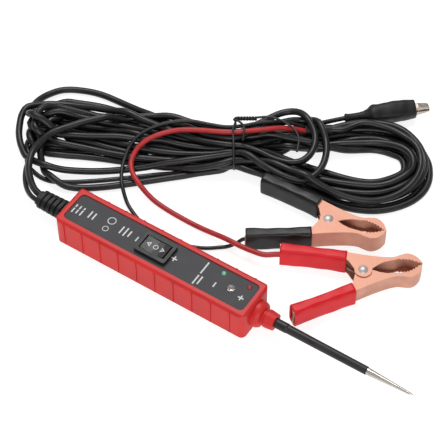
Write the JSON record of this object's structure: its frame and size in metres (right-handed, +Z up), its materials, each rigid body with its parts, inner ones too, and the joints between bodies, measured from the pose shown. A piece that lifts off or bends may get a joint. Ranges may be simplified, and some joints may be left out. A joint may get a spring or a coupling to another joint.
{
  "type": "powered circuit test light",
  "caption": "Hand-held powered automotive circuit probe: red case with rocker switch and lights, steel probe, hanked twin cable, two battery clips and a ground clip.",
  "frame": {"origin": "on the surface the tool lies on, under the middle of the row of strain relief, case and probe", "axes": "+X from the cable end along the case to the probe's tip, +Z up through the face with the switch, +Y towards the hanked cable"},
  "size_m": [0.3071, 0.2071, 0.0224],
  "materials": {
    "red_case": "fine moulded texture, satin",
    "zinc_steel": "zinc plated",
    "label_grey": "printed satin face film",
    "black_plastic": "satin",
    "rocker_black": "semi-gloss with white marks",
    "brass_metal": "bare brass",
    "board_green": "solder mask",
    "led_green": "coloured clear lens",
    "led_red": "coloured clear lens",
    "clear_lens": "clear dome",
    "black_component": "moulded epoxy",
    "tan_component": "lacquered",
    "nickel": "ground and nickel plated",
    "sleeve_black": "satin shrink sleeve",
    "soft_black": "soft PVC, satin",
    "wire_red": "thin wire insulation",
    "copper": "copper plated steel sheet",
    "spring_steel": "drawn wire",
    "vinyl_red": "dipped vinyl, semi-gloss",
    "vinyl_black": "dipped vinyl, semi-gloss",
    "cord_black": "PVC jacket, semi-gloss",
    "cord_red": "PVC jacket, semi-gloss",
    "tie_black": "plastic covered wire"
  },
  "bodies": {
    "root": {"upper_case": "red_case", "bottom_cover": "red_case", "case_screws": "zinc_steel", "face_label": "label_grey", "switch_housing": "black_plastic", "rocker_pin": "zinc_steel", "switch_terminals": "brass_metal", "circuit_board": "board_green", "negative_led": "led_green", "positive_led": "led_red", "lamp": "clear_lens", "led_legs": "zinc_steel", "buzzer": "black_component", "circuit_breaker": "tan_component", "power_transistors": "black_component", "small_components": "tan_component", "probe_socket": "brass_metal", "probe_collar": "red_case", "probe_rod": "nickel", "probe_sleeve": "sleeve_black", "strain_relief": "soft_black", "cable_clamp": "black_plastic", "clamp_screws": "zinc_steel", "internal_wires": "wire_red", "red_fixed_arm": "copper", "red_rivet": "zinc_steel", "red_spring": "spring_steel", "red_fixed_sleeve": "vinyl_red", "red_crimp": "copper", "black_fixed_arm": "copper", "black_rivet": "zinc_steel", "black_spring": "spring_steel", "black_fixed_sleeve": "vinyl_black", "black_crimp": "copper", "ground_fixed_jaw": "nickel", "ground_pin": "zinc_steel", "ground_spring": "spring_steel", "ground_boot": "soft_black", "power_cable": "cord_black", "ground_lead": "cord_black", "ground_lead_end": "cord_black", "cable_hank": "cord_black", "red_lead": "cord_red", "black_lead": "cord_black", "cable_splitter": "cord_black", "twist_tie": "tie_black"},
    "rocker": {"rocker_button": "rocker_black"},
    "red_jaw": {"red_moving_arm": "copper", "red_moving_sleeve": "vinyl_red"},
    "black_jaw": {"black_moving_arm": "copper", "black_moving_sleeve": "vinyl_black"},
    "ground_jaw": {"ground_moving_jaw": "nickel"}
  },
  "joints": [
    {"name": "rocker_switch", "type": "hinge", "parent": "root", "child": "rocker", "pos_m": [-0.0423, 0, 0.0172], "axis": [0, 1, 0], "range_deg": [-8, 8], "stiffness_Nm_per_rad": 0.03},
    {"name": "red_clip_squeeze", "type": "hinge", "parent": "root", "child": "red_jaw", "pos_m": [0.0614, 0.0562, 0.0071], "axis": [0, 0, -1], "range_deg": [0, 22], "stiffness_Nm_per_rad": 0.8, "springref_deg": -20.05, "deforming": ["red_spring"]},
    {"name": "black_clip_squeeze", "type": "hinge", "parent": "root", "child": "black_jaw", "pos_m": [0.026, 0.077, 0.0071], "axis": [0, 0, 1], "range_deg": [0, 22], "stiffness_Nm_per_rad": 0.8, "springref_deg": -20.05, "deforming": ["black_spring"]},
    {"name": "ground_clip_squeeze", "type": "hinge", "parent": "root", "child": "ground_jaw", "pos_m": [0.0231, 0.18397, 0.0065], "axis": [0.682, -0.7314, 0], "range_deg": [0, 14], "stiffness_Nm_per_rad": 0.02, "springref_deg": -17.19, "deforming": ["ground_spring"]}
  ]
}
